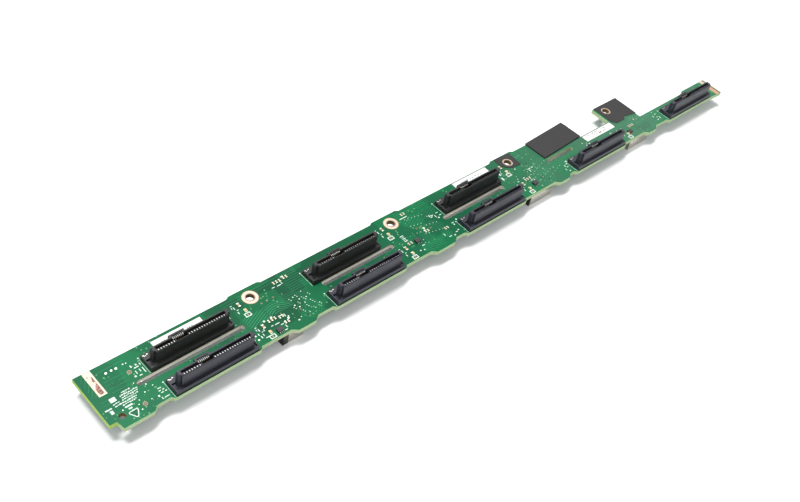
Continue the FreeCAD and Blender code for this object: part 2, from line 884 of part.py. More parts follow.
# Rows of chips between the columns. Each has its socket's column, the side it is measured from (1 from
# the lower socket's right end, -1 back from its left end), x and y of the first chip, and the count.
CAPACITOR_ROWS = [
    (0, 1, 12.8, 10.2, 3),
    (0, 1, 18.2, 9.4, 2),
    (0, 1, 18.6, 5.6, 2),
    (1, -1, 16.3, 27.0, 3),
    (1, -1, 10.5, 27.3, 2),
    (1, 1, 12.4, 10.6, 2),
    (1, 1, 23.0, 27.9, 2),
    (1, 1, 25.6, 12.4, 2),
    (2, -1, 9.1, 8.4, 2),
    (2, 1, 12.4, 10.8, 3),
    (3, 1, 15.4, 9.2, 3),
]


def make_capacitors():
    """Rows of small capacitors in the gaps between the columns."""
    solids = []
    for column, side, x, y, count in CAPACITOR_ROWS:
        first = f"( {socket_end(column)} + {x} )" if side > 0 else f"( {column_x(column, True)} - {x} )"
        for i in range(count):
            solids.append(upright_chip(f"( {first} + {i} * chip_row_pitch )", f"( front + {y} )", "chip"))
    return group("chip_capacitors", solids)


# Control chips: column, x from the lower socket's right end, y from its front face.
CONTROL_CHIPS = [(0, 13.9, 3.6), (1, 17.5, 9.8), (2, 15.2, 6.2), (3, 12.0, 5.6)]
LEADS_A_SIDE = 3


def control_places():
    places = []
    for column, x, y in CONTROL_CHIPS:
        places.append(board_point(f"( {socket_end(column)} + {x} )", f"( front + {y} )"))
    return places


def make_control_chips():
    solids = []
    for centre in control_places():
        corner = centre + Vector(-size("control_length") / 2, -size("control_width") / 2, size("control_stand"))
        solids.append(block(corner, size("control_length"), size("control_width"), size("control_height")))
    return group("control_chips", solids)


def bent_lead(foot, outward, width, knee, reach, rise, thick):
    """A lead that leaves a chip's side level, bends at its knee and slants down to the board."""
    across = Vector(-outward.y, outward.x, 0)
    profile = [(0, rise), (knee, rise), (reach, 0), (reach - thick, 0), (knee - thick, rise - thick),
               (0, rise - thick)]
    points = [foot + outward * a + Vector(0, 0, b) - across * (width / 2) for a, b in profile]
    return prism(points, across * width)


def make_control_leads():
    solids = []
    rise = size("control_stand") + size("control_height") / 2
    for centre in control_places():
        for side in (-1, 1):
            for i in range(LEADS_A_SIDE):
                along = (i - (LEADS_A_SIDE - 1) / 2) * size("lead_pitch")
                foot = centre + Vector(along, side * size("control_width") / 2, 0)
                solids.append(bent_lead(foot, Vector(0, side, 0), size("lead_width"), size("lead_knee"),
                                        size("lead_reach"), rise, size("lead_thick")))
    return group("control_chip_leads", solids)


# Shielded ports under the board


def port_list():
    """Each port's number, left end on the board and width."""
    first = f"( {socket_end(0)} + port_one_after )"
    second = f"( {socket_end(2)} + port_two_after )"
    third = f"( {socket_end(3)} + port_three_after )"
    return [(1, first, "port_one_width"), (2, second, "port_width"), (3, third, "port_width")]


def make_port_shell(number, x, width):
    """A folded shield that is closed towards the board's front edge and open towards its rear."""
    body = new_body(f"port_shell_{number}")
    outer = new_sketch(body, "ShellOutline")
    rectangle(outer, "0", "0", width, "port_depth")
    pad(body, outer, "ShellPad", "board_lift")
    inner = new_sketch(body, "ShellHollow", role="XZ_Plane", offset="( - port_depth )")
    outline(inner, [
        ("port_wall", "port_wall"),
        (f"( {width} - port_wall )", "port_wall"),
        (f"( {width} - port_wall )", "( board_lift - port_wall )"),
        ("port_wall", "( board_lift - port_wall )"),
    ])
    pocket(body, inner, "ShellCut", "( port_depth - port_wall )", reverse=True)
    on_board(body, x, "( front + port_front )", z="0")
    return body


def make_port_tongue(number, x, width):
    """The insulator: a block at the closed end and a flat tongue that reaches towards the mouth."""
    body = new_body(f"port_tongue_{number}")
    inner_width = f"( {width} - 2 * port_wall - 2 * port_play )"
    inner_height = "( board_lift - 2 * port_wall - 2 * port_play )"
    base = new_sketch(body, "BlockOutline")
    rectangle(base, "0", "0", inner_width, "port_block_depth")
    pad(body, base, "BlockPad", inner_height)
    tongue = new_sketch(body, "TongueOutline", offset=f"( {inner_height} / 2 - tongue_thick / 2 )")
    rectangle(tongue, "tongue_margin", "( port_block_depth / 2 )", f"( {inner_width} - 2 * tongue_margin )",
              "( port_block_depth / 2 + tongue_depth )")
    pad(body, tongue, "TonguePad", "tongue_thick")
    inset = "( port_wall + port_play )"
    on_board(body, f"( {x} + {inset} )", f"( front + port_front + {inset} )", z=inset)
    return body


def make_port_contacts(number, x, width):
    """Flat fingers along both faces of the tongue."""
    inner_width = value(f"( {width} - 2 * port_wall - 2 * port_play )")
    span = inner_width - 2 * size("tongue_margin") - 2 * size("finger_margin")
    count = int(span / size("finger_pitch")) + 1
    inset = "( port_wall + port_play )"
    origin = board_point(f"( {x} + {inset} )", f"( front + port_front + {inset} + port_block_depth )", inset)
    middle = value("( board_lift - 2 * port_wall - 2 * port_play ) / 2")
    length = size("tongue_depth") - size("finger_short")
    solids = []
    for i in range(count):
        left = inner_width / 2 + (i - (count - 1) / 2) * size("finger_pitch") - size("finger_width") / 2
        for z in (middle + size("tongue_thick") / 2, middle - size("tongue_thick") / 2 - size("finger_thick")):
            corner = origin + Vector(left, 0, z)
            solids.append(block(corner, size("finger_width"), length, size("finger_thick")))
    return group(f"port_contacts_{number}", solids)


# Power header under the board


POWER_WIDTH = "( power_cells * power_pitch + 2 * power_margin )"
POWER_Y = "( back - power_depth )"
POWER_X = f"( {column_x(1, False)} + power_in )"


def make_power_header():
    """A block with a row of square cells that open towards the board's rear edge."""
    body = new_body("power_header")
    base = new_sketch(body, "HeaderOutline")
    rectangle(base, "0", "0", POWER_WIDTH, "power_depth")
    pad(body, base, "HeaderPad", "board_lift")
    cell = new_sketch(body, "Cell", role="XZ_Plane", offset="( - power_depth )")
    left = "( power_margin + ( power_pitch - power_cell_width ) / 2 )"
    right = f"( {left} + power_cell_width )"
    low = "power_cell_wall"
    high = "( board_lift - power_cell_wall )"
    outline(cell, [(left, low), (right, low), (right, high), (left, high)])
    cut = pocket(body, cell, "CellCut", "power_cell_depth", reverse=True)
    doc.recompute()
    row_pattern(body, cut, "CellRow", "power_cells", "power_pitch")
    on_board(body, POWER_X, POWER_Y, z="0")
    return body


def make_power_pins():
    """One straight pin in each cell, standing on the cell's floor."""
    solids = []
    pin_size = size("power_pin_size")
    floor_y = f"( {POWER_Y} + power_depth - power_cell_depth )"
    for i in range(int(size("power_cells"))):
        x = f"( {POWER_X} + power_margin + power_pitch * ( {i} + 0.5 ) )"
        start = board_point(x, floor_y, "( board_lift / 2 )")
        corner = start - Vector(pin_size / 2, 0, pin_size / 2)
        solids.append(block(corner, pin_size, size("power_pin_reach"), pin_size))
    return group("power_pins", solids)


# Filter parts and controller under the board


CONTROLLER_X = f"( {column_x(2, False)} + controller_in )"


def hung(centre, length, depth, height):
    """A block that hangs from the board's lower face."""
    return block(centre - Vector(length / 2, depth / 2, height), length, depth, height)


def make_coils():
    """Two moulded filter coils with bevelled upright corners."""
    solids = []
    half = size("coil_side") / 2
    cut = half - size("coil_bevel")
    ring = [(half, cut), (cut, half), (-cut, half), (-half, cut), (-half, -cut), (-cut, -half), (cut, -half),
            (half, -cut)]
    for i in range(COIL_COUNT):
        x = f"( {POWER_X} - {i + 1} * coil_step )"
        centre = board_point(x, "( back - under_back )", "board_lift")
        corners = [centre + Vector(a, b, 0) for a, b in ring]
        solids.append(prism(corners, Vector(0, 0, -size("coil_height"))))
    return group("filter_coils", solids)


def make_bulk_capacitors():
    solids = []
    for i in range(BULK_COUNT):
        x = f"( {CONTROLLER_X} - bulk_before - {i} * bulk_step )"
        centre = board_point(x, "( back - under_back )", "board_lift")
        solids.append(hung(centre, size("bulk_width"), size("bulk_length"), size("bulk_height")))
    return group("bulk_capacitors", solids)


def controller_centre():
    return board_point(CONTROLLER_X, "( back - under_back )", "board_lift")


def make_controller():
    side = size("controller_side")
    stand = Vector(0, 0, size("controller_stand"))
    return group("controller_chip", [hung(controller_centre() - stand, side, side, size("controller_height"))])


def make_controller_leads():
    """Leads on two sides of the controller, bent up to the board's lower face."""
    solids = []
    centre = controller_centre()
    half = size("controller_side") / 2
    rise = size("controller_stand") + size("controller_height") / 2
    count = int(size("controller_leads"))
    for outward in (Vector(1, 0, 0), Vector(-1, 0, 0)):
        across = Vector(-outward.y, outward.x, 0)
        for i in range(count):
            foot = outward * half + across * ((i - (count - 1) / 2) * size("controller_pitch"))
            lead = bent_lead(foot, outward, size("lead_width"), size("controller_knee"),
                             size("controller_reach"), rise, size("lead_thick"))
            lead.rotate(Vector(0, 0, 0), Vector(1, 0, 0), 180)
            lead.translate(centre)
            solids.append(lead)
    return group("controller_leads", solids)


# The whole part

nodes = [make_board()]
for number, (column, lower) in enumerate(socket_places(), start=1):
    nodes.append(make_socket(number, column, lower))
    nodes.append(make_contacts(number, column, lower))
nodes.append(make_board_locks())
nodes.append(make_hole_lands())
nodes.append(make_strip("ground_strip_left", "strip_left_in", "strip_left_width",
                        "( back - strip_left_length )", "strip_left_length"))
nodes.append(make_strip("ground_strip_right", "( board_length - strip_right_in - strip_right_width )",
                        "strip_right_width", "strip_edge", "( front + end_run - 2 * strip_edge )"))
nodes.append(make_wide_film())
nodes.append(make_hole_film())
nodes.append(make_tab_film())
nodes.append(make_label("label_1", f"( {column_x(0, False)} + label_one_in )",
                        "( front + row_gap + socket_depth + label_one_gap )"))
nodes.append(make_label("label_2", f"( {column_x(2, False)} + label_two_in )",
                        "( back - label_edge - label_depth )"))
nodes.append(make_label("label_3", f"( {tab_left()} - label_edge - label_length )",
                        "( front + step_run - label_edge - label_depth )"))
nodes.append(make_lamps())
nodes.append(make_sense_resistors())
nodes.append(make_capacitors())
nodes.append(make_control_chips())
nodes.append(make_control_leads())
for number, x, width in port_list():
    nodes.append(make_port_shell(number, x, width))
    nodes.append(make_port_tongue(number, x, width))
    nodes.append(make_port_contacts(number, x, width))
nodes.append(make_power_header())
nodes.append(make_power_pins())
nodes.append(make_coils())
nodes.append(make_bulk_capacitors())
nodes.append(make_controller())
nodes.append(make_controller_leads())
doc.recompute()

for thing in doc.Objects:
    if "Invalid" in thing.State or "Error" in thing.State:
        raise RuntimeError(f"{thing.Label} did not build: {thing.State}")
for node in nodes:
    if node.Shape.isNull() or not node.Shape.isValid():
        raise RuntimeError(f"{node.Label} has no valid shape")

os.makedirs("parts", exist_ok=True)
for node in nodes:
    node.Shape.exportStep(f"parts/{node.Label}.step")
    print(node.Label, len(node.Shape.Solids), "solids")
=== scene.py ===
import bpy
from math import cos, radians, sin
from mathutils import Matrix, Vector


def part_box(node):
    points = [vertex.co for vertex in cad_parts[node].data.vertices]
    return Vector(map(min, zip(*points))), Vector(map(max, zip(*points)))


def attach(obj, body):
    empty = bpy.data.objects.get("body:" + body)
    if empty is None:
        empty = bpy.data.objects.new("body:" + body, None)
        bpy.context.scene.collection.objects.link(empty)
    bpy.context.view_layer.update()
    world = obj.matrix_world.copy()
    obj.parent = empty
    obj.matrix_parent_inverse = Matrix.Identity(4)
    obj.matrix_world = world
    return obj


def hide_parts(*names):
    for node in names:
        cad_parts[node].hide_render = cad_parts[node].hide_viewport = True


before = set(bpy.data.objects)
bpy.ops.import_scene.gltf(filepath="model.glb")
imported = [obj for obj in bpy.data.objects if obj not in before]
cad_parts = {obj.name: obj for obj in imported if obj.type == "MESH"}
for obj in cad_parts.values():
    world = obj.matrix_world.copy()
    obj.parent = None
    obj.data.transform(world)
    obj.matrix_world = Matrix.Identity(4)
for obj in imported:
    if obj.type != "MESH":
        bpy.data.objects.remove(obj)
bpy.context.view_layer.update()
MM = 0.001
WELD = 0.002 * MM


# Camera. It looks down along the board from above its two-row end, as the photograph does, with the
# near end about 42 cm away.
lens = bpy.data.cameras.new("camera")
lens.sensor_width = 36
lens.lens = 47.027
camera = bpy.data.objects.new("camera", lens)
camera.location = (-0.33684, -0.22764, 0.36484)
camera.rotation_euler = (radians(44.621), radians(-9.5517), radians(-42.6792))
bpy.context.collection.objects.link(camera)
bpy.context.scene.camera = camera


# Board. Glass-fibre laminate 2.4 mm thick with green solder mask over copper traces. Its outline is routed,
# so the edges show the bare yellow-green laminate, and its holes are drilled and plated. A strip of painted
# shade darkens the mask along the front of each socket, under the edge of its base.
class Paint:
    """One output of a material's tree of nodes. Sums, products and comparisons of it add nodes."""

    def __init__(self, tree, socket=None):
        self.tree = tree
        self.socket = socket

    def node(self, kind, inputs, output=0, **settings):
        """Adds a node, feeds its inputs with numbers, colours or other Paints and returns one output."""
        made = self.tree.nodes.new(kind)
        for key, setting in settings.items():
            setattr(made, key, setting)
        for key, value in inputs.items():
            if isinstance(value, Paint):
                self.tree.links.new(value.socket, made.inputs[key])
            else:
                made.inputs[key].default_value = value
        return Paint(self.tree, made.outputs[output])

    def math(self, operation, *values):
        return self.node("ShaderNodeMath", dict(enumerate(values)), operation=operation)

    def __add__(self, other):
        return self.math("ADD", self, other)

    def __sub__(self, other):
        return self.math("SUBTRACT", self, other)

    def __rsub__(self, other):
        return self.math("SUBTRACT", other, self)

    def __mul__(self, other):
        return self.math("MULTIPLY", self, other)

    def __gt__(self, other):
        return self.math("GREATER_THAN", self, other)

    def __lt__(self, other):
        return self.math("LESS_THAN", self, other)

    def __or__(self, other):
        return self.math("MAXIMUM", self, other)

    def absolute(self):
        return self.math("ABSOLUTE", self)

    def between(self, low, high):
        return (self > low) * (self < high)

    def ramp(self, low, high, start=0.0, end=1.0):
        """Goes smoothly from start to end while the value goes from low to high."""
        return self.node("ShaderNodeMapRange", {0: self, 1: low, 2: high, 3: start, 4: end},
                         interpolation_type="SMOOTHSTEP")

    def every(self, pitch):
        """The distance from the nearest whole multiple of the pitch."""
        return self.math("PINGPONG", self, pitch / 2)

    def blend(self, low, high):
        """A colour that goes from low to high as the value goes from 0 to 1."""
        return self.node("ShaderNodeMix", {0: self, 6: low, 7: high}, output=2, data_type="RGBA")

    def point(self):
        """The point's place in metres, as a vector."""
        return self.node("ShaderNodeTexCoord", {}, output=3)

    def place(self):
        """The point's place in metres, as a vector and as its x, y and z."""
        point = self.point()
        return [point] + [self.node("ShaderNodeSeparateXYZ", {0: point}, output=axis) for axis in range(3)]

    def upright(self):
        """How far the surface faces up, from -1 to 1."""
        normal = self.node("ShaderNodeTexCoord", {}, output=1)
        return self.node("ShaderNodeSeparateXYZ", {0: normal}, output=2)

    def stretch(self, point, factors):
        """The point with its axes scaled, which draws a pattern out along the least scaled one."""
        return self.node("ShaderNodeVectorMath", {0: point, 1: factors}, operation="MULTIPLY")

    def seen(self):
        """1 on the camera's own rays, glossy ones and ones through clear things: outputs 0, 3 and 6."""
        rays = [self.node("ShaderNodeLightPath", {}, output=ray) for ray in (0, 3, 6)]
        return rays[0] | rays[1] | rays[2]

    def noise(self, point, scale, detail=2.0):
        return self.node("ShaderNodeTexNoise", {"Vector": point, "Scale": scale, "Detail": detail})

    def cells(self, point, scale, output=0, **settings):
        return self.node("ShaderNodeTexVoronoi", {"Vector": point, "Scale": scale}, output=output, **settings)

    def bump(self, height, distance):
        return self.node("ShaderNodeBump", {"Height": height, "Distance": distance, "Strength": 1.0})


def colour(red, green, blue):
    """A colour given as the eye sees it, 0 to 255, in the linear values that nodes take."""
    linear = [(part / 255 / 12.92 if part < 11 else ((part / 255 + 0.055) / 1.055) ** 2.4)
              for part in (red, green, blue)]
    return (*linear, 1.0)


def new_finish(name, **constants):
    """A material, the Paint that starts its tree, and its shader with the sockets that don't vary set."""
    material = bpy.data.materials.new(name)
    material.use_nodes = True
    shader = material.node_tree.nodes["Principled BSDF"]
    for key, value in constants.items():
        shader.inputs[key.replace("_", " ")].default_value = value
    return material, Paint(material.node_tree), shader


def feed(shader, **paints):
    """Links Paints to the shader's sockets."""
    for key, paint in paints.items():
        paint.tree.links.new(paint.socket, shader.inputs[key.replace("_", " ")])


def dress(node, material):
    """Gives a CAD node a material in place of the imported one."""
    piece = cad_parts[node]
    piece.data.materials.clear()
    piece.data.materials.append(material)
    return piece


def soften(piece, width, segments=2, flat=False):
    """Live modifiers that merge a CAD node's loose triangles, or its flat faces too, and round its edges."""
    weld = piece.modifiers.new("weld", "WELD")
    weld.merge_threshold = WELD
    if flat:
        merge = piece.modifiers.new("merge", "DECIMATE")
        merge.decimate_type = "DISSOLVE"
        merge.angle_limit = radians(1)
    bevel = piece.modifiers.new("bevel", "BEVEL")
    bevel.width = width
    bevel.segments = segments
    bevel.limit_method = "ANGLE"
    bevel.angle_limit = radians(40)
    bevel.harden_normals = True


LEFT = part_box("drive_socket_1")[0].x
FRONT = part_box("drive_socket_2")[0].y
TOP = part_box("board")[1].z
SOCKETS = range(1, 9)
LAST = SOCKETS[-1]
TRACE = 0.22


def spot(x, y):
    """A place on the board, in millimetres from the left end of socket 1 and the lower row's front."""
    return Vector((LEFT + x * MM, FRONT + y * MM, TOP))


def boxes_of(node):
    """The corners of each separate solid of a CAD node, found on a copy of its mesh."""
    twin = bpy.data.objects.new("twin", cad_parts[node].data.copy())
    bpy.context.collection.objects.link(twin)
    bpy.ops.object.select_all(action="DESELECT")
    bpy.context.view_layer.objects.active = twin
    twin.select_set(True)
    bpy.ops.object.mode_set(mode="EDIT")
    bpy.ops.mesh.select_all(action="SELECT")
    bpy.ops.mesh.remove_doubles(threshold=WELD)
    bpy.ops.mesh.separate(type="LOOSE")
    bpy.ops.object.mode_set(mode="OBJECT")
    found = [(Vector(part.bound_box[0]), Vector(part.bound_box[6])) for part in bpy.context.selected_objects]
    bpy.ops.object.delete()
    return found


def inside(x, y, low, high):
    """1 in the rectangle between two corners, and 0 outside it."""
    start, end = spot(*low), spot(*high)
    return x.between(start.x, end.x) * y.between(start.y, end.y)


def any_of(paints):
    """1 where any of the Paints is 1."""
    joined = paints[0]
    for paint in paints[1:]:
        joined = joined | paint
    return joined


def distance(along, across):
    """How far two Paints reach together, one along X and one along Y."""
    square = along * along + across * across
    return square.math("SQRT", square)


def straight_traces(x, y, low, high, turn, pitch, width=TRACE):
    """Parallel traces in a rectangle, running at an angle in degrees."""
    across = y * cos(radians(turn)) - x * sin(radians(turn))
    return inside(x, y, low, high) * (across.every(pitch * MM) < width * MM / 2)


def bent_traces(x, y, centre, inner, outer, low, high, pitch, width=TRACE):
    """Traces that bend together round a centre, cut to a rectangle."""
    middle = spot(*centre)
    radius = distance(x - middle.x, y - middle.y)
    ring = radius.between(inner * MM, outer * MM)
    return inside(x, y, low, high) * ring * (radius.every(pitch * MM) < width * MM / 2)


mask, base, shader = new_finish("green_mask", Specular_IOR_Level=0.12)
point, x, y, z = base.place()
flat = base.upright().absolute() > 0.9
straight = [
    ((43.5, 3), (47, 15), 18, 0.9),
    ((-18.6, 15), (-9.6, 24), 0, 2.1),
    ((-18.6, 27.9), (-6, 28.4), 0, 0.3),
    ((-25, 12.2), (-21.6, 14.5), 0, 1.8),
    ((-26, 18), (-23, 30), 60, 1.4),
    ((36, 9.5), (46, 13), 0, 1.1),
    ((68, 13.5), (77, 19.5), -8, 1.2),
    ((77, 14), (82.6, 17), 0, 0.7),
    ((76, 18), (86, 31), 0, 1.3),
    ((44, 28), (86, 31), 0, 1.5),
    ((128, 11.5), (150, 15), 10, 1.2),
    ((150, 19), (172, 25), 25, 1.3),
    ((150, 27), (173, 31), 0, 1.3),
    ((147, 1), (160, 6), -12, 1.2),
    ((214, 12), (227, 18), 18, 1.2),
    ((233, 8), (262, 14), 8, 1.3),
    ((240, 15), (262, 20), 30, 1.4),
    ((234, 24), (243, 31), 0, 1.4),
    ((262, 11), (304, 14), 0, 1.3),
    ((304, 12), (350, 13.4), 0, 0.8),
    ((318, 8), (347, 11.5), 6, 1.2),
    ((47.5, 11), (59.3, 18), 24, 1.2, 0.5),
]
bent = [
    ((63.5, 9), 3.4, 9.6, (59.3, 12), (72.5, 19), 1.2, 0.5),
    ((77, 6.5), 1.5, 6.5, (70.5, 1), (85, 13), 1.1),
    ((160, 9), 3.0, 9.0, (152, 4), (168, 17), 1.2),
    ((240, 8), 2.0, 8.0, (234, 1), (250, 15), 1.3),
]
traces = any_of([straight_traces(x, y, *field) for field in straight]
                + [bent_traces(x, y, *field) for field in bent])
pour = base.cells(point, 75.0, distance="CHEBYCHEV", output=1)
pour = base.node("ShaderNodeSeparateColor", {0: pour}) > 0.55
cloud = base.noise(point, 55.0, 3.0)
fine = base.noise(point, 1500.0, 2.0)
vias = (base.cells(point, 520.0) < 0.2) * (base.noise(point, 60.0, 1.0) > 0.56)
tone = cloud * 0.7 + fine * 0.3
green = tone.blend(colour(0, 70, 45), colour(0, 103, 63))
# Painted light: the green changes in three steps along X, darker near the left end and paler and greyer
# towards the right.
for start, stop, deep, bright in [
    (-0.17, -0.13, (4, 56, 36), (9, 86, 54)),
    (-0.11, -0.05, (5, 65, 41), (13, 97, 62)),
    (-0.02, 0.13, (50, 92, 70), (68, 120, 92)),
]:
    green = x.ramp(start, stop).blend(green, tone.blend(colour(*deep), colour(*bright)))
green = (pour * 0.35).blend(green, colour(10, 112, 66))
green = (traces * 0.4).blend(green, colour(60, 150, 104))
green = (vias * 0.7).blend(green, colour(110, 168, 120))
layers = base.noise(base.stretch(point, (90.0, 90.0, 2600.0)), 1.0)
# Painted highlight: the top 0.5 mm of the board's edges is painted a lighter mint green.
rim = z.absolute().ramp(TOP - 0.5 * MM, TOP)
specks = base.noise(point, 1500.0, 1.0).ramp(0.6, 0.72)
laminate = layers.blend(colour(138, 170, 120), colour(192, 202, 168))
laminate = (specks * 0.5).blend(laminate, colour(150, 122, 84))
laminate = (rim * 0.6).blend(laminate, colour(150, 206, 150))
# Painted highlight: the edge at the left end is painted a brighter lime than the rest of the laminate.
lime_highlight = layers.blend(colour(134, 168, 76), colour(184, 208, 118))
laminate = (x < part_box("board")[0].x + 3.4 * MM).blend(laminate, lime_highlight)
# Painted light and shade on the walls of the long slots: near-white below, standing in for the lit table seen
# through them, and dark brown towards the top edge as painted shade.
slots = inside(x, y, (-11, 12), (272, 16.05))
slot_wall_light_and_shade = z.ramp(TOP - 0.5 * MM, TOP - 0.1 * MM).blend(colour(244, 240, 230), colour(110, 96, 76))
laminate = slots.blend(laminate, slot_wall_light_and_shade)
lands = boxes_of("hole_lands")
# Painted shade: the bores of the holes are painted dark brown for the shade inside them.
bores = any_of([inside(x, y, (-23.5, 2.0), (-18.8, 6.8))]
               + [x.between(low.x, high.x) * y.between(low.y, high.y) for low, high in lands])
tab = (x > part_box("film_tab")[0].x - MM) * (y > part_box("label_3")[1].y)
laminate = (tab * 0.7).blend(laminate, colour(176, 168, 130))
laminate = bores.blend(laminate, layers.blend(colour(74, 58, 38), colour(150, 130, 98)))
# Painted shade: a dark strip on the mask along the front of each socket's base.
for number in SOCKETS:
    low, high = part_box(f"drive_socket_{number}")
    base_shade_strip = x.between(low.x, high.x) * y.between(low.y - 0.5 * MM, low.y + MM)
    green = (base_shade_strip * 0.75).blend(green, colour(14, 34, 24))
feed(shader, Base_Color=flat.blend(laminate, green), Roughness=flat.ramp(0.0, 1.0, 0.8, 0.38),
     Normal=base.bump((traces * 0.7 + pour * 0.3) * flat + layers * 0.1 + fine * 0.05, 0.00003))
soften(dress("board", mask), 0.00018, 1, flat=True)


# Marks on the board. The maker's print is white ink and the pads are tinned copper left open in the mask. The
# small drilled holes are not cut: dark discs stand in for them, painted shade for the dark inside of each
# hole. The print here is plain bars, frames and outlines.
def begin(name):
    """Starts an empty piece in edit mode, so that the primitives that follow become part of it."""
    piece = bpy.data.objects.new(name, bpy.data.meshes.new(name))
    bpy.context.collection.objects.link(piece)
    bpy.ops.object.select_all(action="DESELECT")
    bpy.context.view_layer.objects.active = piece
    piece.select_set(True)
    bpy.ops.object.mode_set(mode="EDIT")
    return piece


def add_bar(centre, length, width):
    """A flat bar, its length along the board and its sizes in millimetres."""
    bpy.ops.mesh.primitive_plane_add(size=1, location=centre)
    bpy.ops.transform.resize(value=(length * MM, width * MM, 1), center_override=centre)


def add_disc(centre, diameter, sides):
    bpy.ops.mesh.primitive_circle_add(vertices=sides, radius=diameter * MM / 2, fill_type="NGON",
                                      location=centre)


def add_ring(centre, diameter, width, sides):
    """A disc whose middle is inset and taken out."""
    add_disc(centre, diameter, sides)
    bpy.ops.mesh.inset(thickness=width * MM)
    bpy.ops.mesh.delete(type="FACE")


def add_frame(centre, length, width, line):
    """A rectangular outline: a bar whose middle is inset and taken out."""
    add_bar(centre, length, width)
    bpy.ops.mesh.inset(thickness=line * MM)
    bpy.ops.mesh.delete(type="FACE")


def close_flat(piece, thick, material):
    """Closes a piece of flat shapes: gives them a thickness upwards, a material and a body to ride on."""
    bpy.ops.object.mode_set(mode="OBJECT")
    wall = piece.modifiers.new("wall", "SOLIDIFY")
    wall.thickness = thick * MM
    wall.offset = 1
    bpy.ops.object.modifier_apply(modifier="wall")
    piece.data.materials.append(material)
    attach(piece, "root")


ink, base, shader = new_finish("white_ink", Roughness=0.6)
wear = base.noise(base.point(), 2400.0, 3.0)
feed(shader, Base_Color=wear.ramp(0.25, 0.65).blend(colour(140, 184, 160), colour(222, 230, 224)),
     Normal=base.bump(wear, 0.00001))
INK_THICK = 0.015
METAL_THICK = 0.02
HOLE_MARK_THICK = 0.012
LAMP_ALONG = 51.9
LAST_LAMP_ALONG = 46.5
LAMP_BACK = 5.0
FIFTH_MARK_BACK = 0.2
DASH_GAP = 0.28
TEST_PAD_ALONG = -0.3
TEST_PAD_BACK = -2.4
socket_corners = [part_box(f"drive_socket_{number}")[0] for number in SOCKETS]
lamp_spots = []
for number, low in enumerate(socket_corners, start=1):
    along = LAMP_ALONG if number < LAST else LAST_LAMP_ALONG
    lamp_spots.append((number, low.x + along * MM, low.y + LAMP_BACK * MM))

printed = begin("board_print")
for number, low in enumerate(socket_corners, start=1):
    corner = Vector((low.x, low.y, TOP))
    add_bar(corner + Vector((-0.55, 4.2, 0)) * MM, 0.15, 8.8)
    add_disc(corner + Vector((-0.6, 9.2, 0)) * MM, 0.7, 10)
    if number < LAST:
        add_bar(corner + Vector((43.2, 8.6, 0)) * MM, 1.4, 0.18)
        add_bar(corner + Vector((43.8, 6.7, 0)) * MM, 0.18, 3.6)
for number, x, y in lamp_spots:
    if number == 5:
        y += FIFTH_MARK_BACK * MM
    centre = Vector((x, y, TOP))
    if number != LAST:
        add_frame(centre + Vector((TEST_PAD_ALONG, TEST_PAD_BACK, 0)) * MM, 3.2, 2.3, 0.45)
        for along, back, length, width in [
            (-3.4, 3.8, 0.4, 1.5), (-3.2, 0.6, 0.4, 1.3), (-3.9, 5.6, 0.9, 0.4), (-2.6, 2.2, 0.9, 0.35),
            (-4.4, 4.3, 0.35, 0.9),
        ]:
            add_bar(centre + Vector((along, back, 0)) * MM, length, width)
